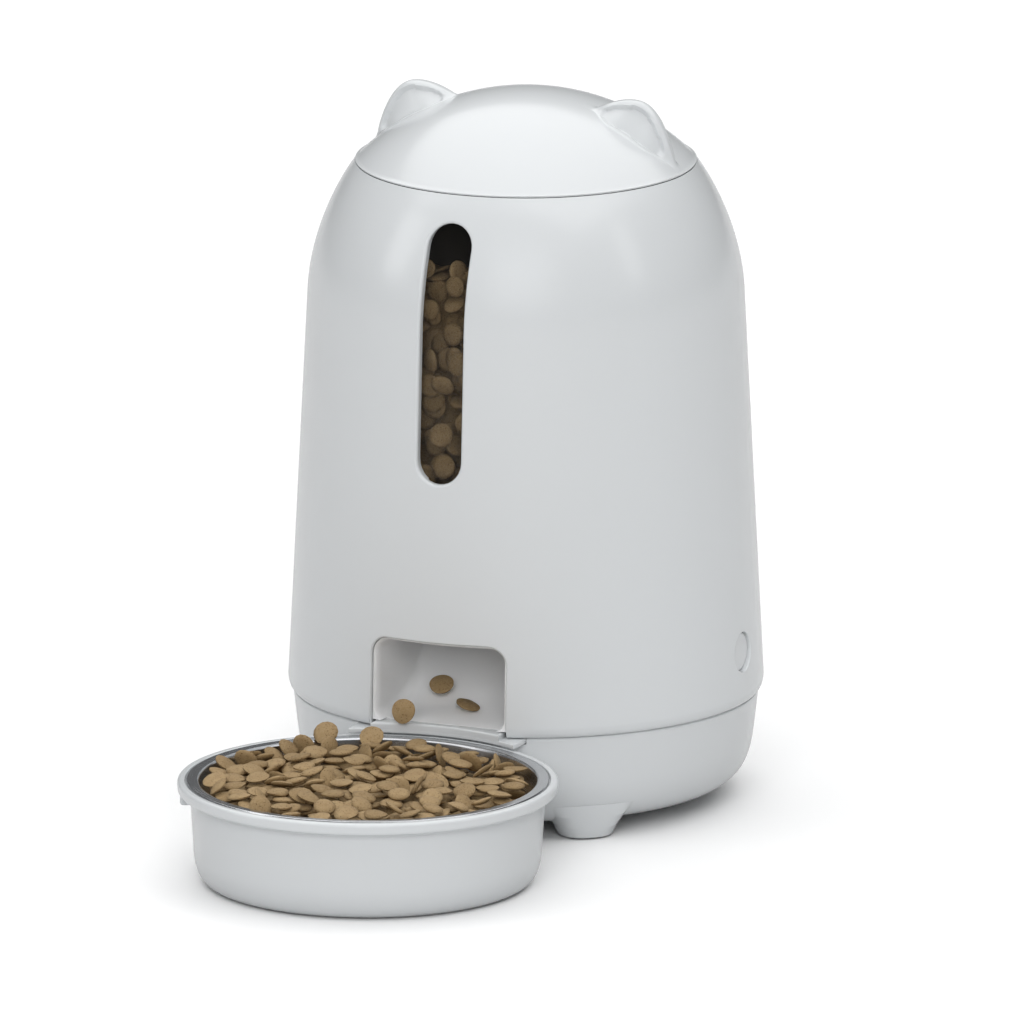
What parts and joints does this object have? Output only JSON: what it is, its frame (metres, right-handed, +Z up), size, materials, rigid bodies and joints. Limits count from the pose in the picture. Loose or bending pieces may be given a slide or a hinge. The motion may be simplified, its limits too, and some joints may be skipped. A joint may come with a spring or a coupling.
{
  "type": "automatic pet feeder",
  "caption": "Domed gravity hopper with cat ears on a round powered base; a turning portion wheel drops dry food down a chute into a docked steel bowl.",
  "frame": {"origin": "middle of the bounding box of the feeder and its docked bowl, at the level the feet stand on", "axes": "+Z up, front with the bowl towards -Y, +X to the feeder's left as it faces you"},
  "size_m": [0.2, 0.3474, 0.3027],
  "materials": {
    "shell_white": "polished white moulding",
    "liner_white": "fine satin white moulding",
    "hopper_charcoal": "fine satin dark grey moulding",
    "window_smoke": "clear plastic with a light smoke tint",
    "grey_rubber": "soft matt rubber",
    "bright_steel": "stainless, spun and polished",
    "zinc_plate": "zinc plated",
    "gear_acetal": "natural acetal",
    "black_plastic": "fine matt",
    "circuit_green": "solder mask",
    "cell_jacket": "printed film jacket with no text",
    "lamp_green": "diffusing lens",
    "kibble_brown": "dry baked food, seen in the bowl, the hopper and the chute"
  },
  "bodies": {
    "base": {"base_housing": "shell_white", "base_deck": "liner_white", "dock_ledge": "shell_white", "chute": "shell_white", "foot_pad_1": "grey_rubber", "foot_pad_2": "grey_rubber", "foot_pad_3": "grey_rubber", "foot_pad_4": "grey_rubber", "battery_door": "shell_white", "door_screw_1": "zinc_plate", "door_screw_2": "zinc_plate", "deck_screw_1": "zinc_plate", "deck_screw_2": "zinc_plate", "deck_screw_3": "zinc_plate", "deck_screw_4": "zinc_plate", "battery_cell_1": "cell_jacket", "battery_cell_2": "cell_jacket", "battery_cell_3": "cell_jacket", "contact_left": "zinc_plate", "contact_right": "zinc_plate", "circuit_board": "circuit_green", "rear_board": "circuit_green", "feed_switch": "black_plastic", "power_jack": "black_plastic", "status_lamp": "lamp_green", "drive_housing": "liner_white", "gear_plate": "zinc_plate", "motor": "zinc_plate", "gear_axle": "bright_steel", "shaft_bush": "black_plastic", "position_switch": "black_plastic"},
    "feed_button": {"feed_button": "liner_white"},
    "motor_rotor": {"motor_shaft": "bright_steel", "motor_pinion": "gear_acetal"},
    "compound_gear": {"compound_gear": "gear_acetal"},
    "output_gear": {"output_gear": "gear_acetal"},
    "tank": {"upper_shell": "shell_white", "hopper": "hopper_charcoal", "window_lens": "window_smoke", "window_gasket": "grey_rubber", "rotor_chamber": "liner_white", "outlet_guard": "liner_white", "button_guide_left": "liner_white", "button_guide_right": "liner_white", "release_spring_left": "bright_steel", "release_spring_right": "bright_steel"},
    "portion_wheel": {"portion_wheel": "grey_rubber", "stirrer": "grey_rubber"},
    "release_left": {"release_button_left": "shell_white"},
    "release_right": {"release_button_right": "shell_white"},
    "lid": {"lid": "shell_white", "lid_seal": "grey_rubber", "lid_liner": "liner_white", "desiccant_tub": "liner_white"},
    "desiccant_cover": {"desiccant_cover": "liner_white"},
    "bowl_holder": {"bowl_holder": "shell_white", "holder_grip": "grey_rubber"},
    "steel_bowl": {"steel_bowl": "bright_steel"}
  },
  "joints": [
    {"name": "tank_lift", "type": "slide", "parent": "base", "child": "tank", "axis": [0, 0, 1], "range_m": [0, 0.06]},
    {"name": "lid_lift", "type": "slide", "parent": "tank", "child": "lid", "axis": [0, 0, 1], "range_m": [0, 0.05]},
    {"name": "desiccant_release", "type": "slide", "parent": "lid", "child": "desiccant_cover", "axis": [0, 0, -1], "range_m": [0, 0.012], "stiffness_N_per_m": 40, "springref_m": -0.004},
    {"name": "holder_slide", "type": "slide", "parent": "base", "child": "bowl_holder", "axis": [0, -1, 0], "range_m": [0, 0.1]},
    {"name": "bowl_lift", "type": "slide", "parent": "bowl_holder", "child": "steel_bowl", "axis": [0, 0, 1], "range_m": [0, 0.038]},
    {"name": "feed_press", "type": "slide", "parent": "base", "child": "feed_button", "axis": [0, -1, 0], "range_m": [0, 0.0015], "stiffness_N_per_m": 800},
    {"name": "release_left_press", "type": "slide", "parent": "tank", "child": "release_left", "axis": [1, 0, 0], "range_m": [0, 0.0025], "stiffness_N_per_m": 1200, "deforming": ["release_spring_left"]},
    {"name": "release_right_press", "type": "slide", "parent": "tank", "child": "release_right", "axis": [-1, 0, 0], "range_m": [0, 0.0025], "stiffness_N_per_m": 1200, "deforming": ["release_spring_right"]},
    {"name": "wheel_spin", "type": "hinge", "parent": "tank", "child": "portion_wheel", "pos_m": [0, 0.07375, 0.105], "axis": [0, 0, 1], "continuous": true},
    {"name": "output_spin", "type": "hinge", "parent": "base", "child": "output_gear", "pos_m": [0, 0.07375, 0.08], "axis": [0, 0, 1], "continuous": true},
    {"name": "compound_spin", "type": "hinge", "parent": "base", "child": "compound_gear", "pos_m": [0, 0.10675, 0.078], "axis": [0, 0, 1], "continuous": true},
    {"name": "motor_spin", "type": "hinge", "parent": "base", "child": "motor_rotor", "pos_m": [0, 0.13675, 0.074], "axis": [0, 0, 1], "continuous": true}
  ],
  "couplings": [
    {"joint": "output_spin", "follows": "wheel_spin", "ratio": 1},
    {"joint": "compound_spin", "follows": "wheel_spin", "ratio": -2.6667},
    {"joint": "motor_spin", "follows": "wheel_spin", "ratio": 6.2222}
  ]
}
